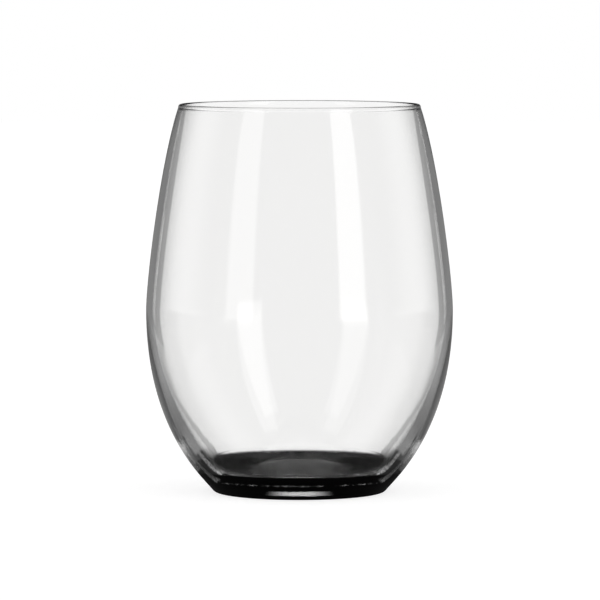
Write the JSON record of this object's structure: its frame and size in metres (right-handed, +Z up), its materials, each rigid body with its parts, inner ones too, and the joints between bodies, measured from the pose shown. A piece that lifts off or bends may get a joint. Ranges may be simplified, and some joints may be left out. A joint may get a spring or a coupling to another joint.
{
  "type": "stemless wine glass",
  "caption": "Clear egg-shaped stemless wine glass with a thin rounded lip, a thickening wall and a smoke tinted glass foot.",
  "frame": {"origin": "centre of the underside, on the plane of the ring that the glass stands on", "axes": "+Z up along the axis of the bowl, through the mouth; the glass is the same all round that axis"},
  "size_m": [0.0904, 0.0904, 0.1143],
  "materials": {
    "clear_glass": "clear polished soda-lime glass",
    "smoke_glass": "polished glass tinted to a dense smoke black"
  },
  "bodies": {
    "root": {"clear_bowl": "clear_glass", "smoke_foot": "smoke_glass"}
  },
  "joints": []
}
